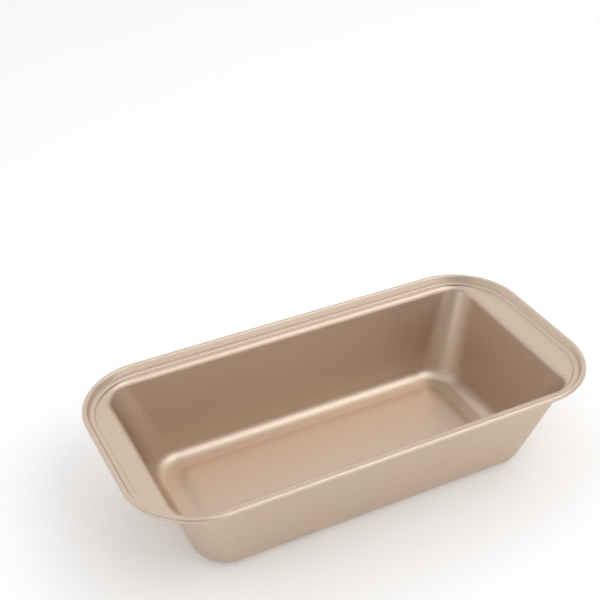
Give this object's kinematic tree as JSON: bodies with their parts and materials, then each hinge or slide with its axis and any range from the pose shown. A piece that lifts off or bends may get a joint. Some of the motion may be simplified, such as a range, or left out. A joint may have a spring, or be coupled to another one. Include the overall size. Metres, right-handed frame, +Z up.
{
  "type": "loaf pan",
  "caption": "Rectangular loaf pan pressed from coated steel sheet, with a raised base panel, tapered walls, wide end flanges, a stepped rim and an edge curled round a stiffening wire.",
  "frame": {"origin": "middle of the flat base, on its underside", "axes": "+X along the loaf, +Y across it, +Z up out of the mouth"},
  "size_m": [0.25, 0.1234, 0.0545],
  "materials": {
    "coated_steel": "satin champagne-gold non-stick coating with a fine metallic fleck",
    "steel_wire": "plain drawn steel wire, hidden inside the curl"
  },
  "bodies": {
    "root": {"pan_body": "coated_steel", "rim_wire": "steel_wire"}
  },
  "joints": []
}
